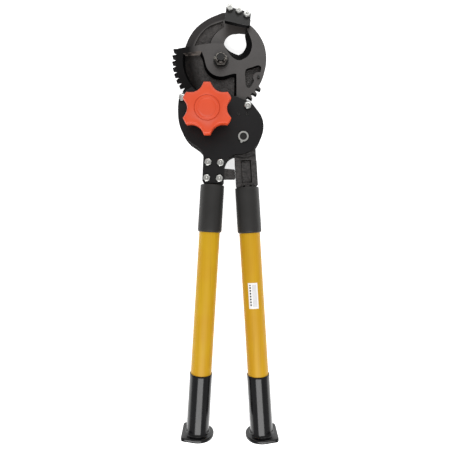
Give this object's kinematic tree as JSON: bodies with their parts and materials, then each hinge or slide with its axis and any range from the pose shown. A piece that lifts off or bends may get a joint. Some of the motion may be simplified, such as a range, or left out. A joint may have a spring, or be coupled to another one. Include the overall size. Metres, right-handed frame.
{
  "type": "cable cutter",
  "caption": "Long-handled ratchet cable cutter: a hooked jaw and a toothed moving blade, worked by a lever handle's pawl or a hand knob.",
  "frame": {"origin": "centre of the box's underside, on the surface that the tool lies on", "axes": "+Y from the handles to the jaws, +X towards the moving handle, +Z out of the tool's front, where the knob is"},
  "size_m": [0.1704, 0.6946, 0.0715],
  "materials": {
    "black_forging": "semi-matte black oxide over forged and cast steel",
    "black_plate": "semi-matte black paint on rolled plate",
    "zinc": "bright zinc plate, slightly dulled",
    "dark_steel": "black oxide on machined steel",
    "spring_steel": "drawn wire",
    "bronze": "sintered bronze",
    "orange_plastic": "satin moulded plastic",
    "sleeve_plastic": "satin dark grey plastic",
    "yellow_tube": "pigmented fibreglass tube",
    "black_vinyl": "glossy dipped vinyl"
  },
  "bodies": {
    "frame": {"fixed_jaw": "black_forging", "front_plate": "black_plate", "blade_guide": "dark_steel", "left_bracket": "black_forging", "left_sleeve": "sleeve_plastic", "left_tube": "yellow_tube", "left_grip": "black_vinyl", "blade_pivot_bolt": "dark_steel", "pivot_washer": "dark_steel", "castle_nut": "dark_steel", "cotter_pin": "spring_steel", "handle_pivot_bolt": "dark_steel", "handle_pivot_nut": "zinc", "frame_bolt_left": "zinc", "frame_bolt_right": "zinc", "frame_nut_left": "zinc", "frame_nut_right": "zinc", "spacer_left": "zinc", "spacer_right": "zinc", "tang_bolt_1": "zinc", "tang_bolt_2": "zinc", "tang_bolt_3": "zinc", "tang_bolt_4": "zinc", "tang_nut_1": "zinc", "tang_nut_2": "zinc", "tang_nut_3": "zinc", "tang_nut_4": "zinc", "guide_bolt_1": "zinc", "guide_bolt_2": "zinc", "guide_bolt_3": "zinc", "pawl_stop_pin": "dark_steel", "spring_anchor_pin": "dark_steel", "holding_pawl_spring": "spring_steel"},
    "blade": {"moving_blade": "black_forging", "pivot_bushing": "bronze", "stop_pin": "dark_steel"},
    "knob_drive": {"knob": "orange_plastic", "knob_cap": "orange_plastic", "pinion_shaft": "dark_steel", "pinion_clip": "spring_steel"},
    "right_handle": {"right_bracket": "black_forging", "right_sleeve": "sleeve_plastic", "right_tube": "yellow_tube", "right_grip": "black_vinyl", "handle_bushing": "bronze", "drive_pawl_pin": "dark_steel", "drive_pawl_spring": "spring_steel"},
    "drive_pawl_body": {"drive_pawl": "dark_steel"},
    "holding_pawl_body": {"holding_pawl": "dark_steel"}
  },
  "joints": [
    {"name": "blade_swing", "type": "hinge", "parent": "frame", "child": "blade", "pos_m": [-0.0065, 0.26098, 0.0265], "axis": [0, 0, 1], "range_deg": [-37.5, 67.5]},
    {"name": "knob_turn", "type": "hinge", "parent": "frame", "child": "knob_drive", "pos_m": [-0.02715, 0.17361, 0.0265], "axis": [0, 0, 1], "range_deg": [-360, 200]},
    {"name": "handle_swing", "type": "hinge", "parent": "frame", "child": "right_handle", "pos_m": [0.0291, 0.13698, 0.0265], "axis": [0, 0, 1], "range_deg": [0, 34]},
    {"name": "drive_pawl_swing", "type": "hinge", "parent": "right_handle", "child": "drive_pawl_body", "pos_m": [-0.006, 0.16268, 0.0265], "axis": [0, 0, 1], "range_deg": [0, 11], "stiffness_Nm_per_rad": 0.05, "springref_deg": 11},
    {"name": "holding_pawl_swing", "type": "hinge", "parent": "frame", "child": "holding_pawl_body", "pos_m": [-0.068, 0.19898, 0.0265], "axis": [0, 0, 1], "range_deg": [0, 11], "stiffness_Nm_per_rad": 0.05, "springref_deg": 11}
  ],
  "couplings": [
    {"joint": "knob_turn", "follows": "blade_swing", "ratio": -5.3333}
  ]
}
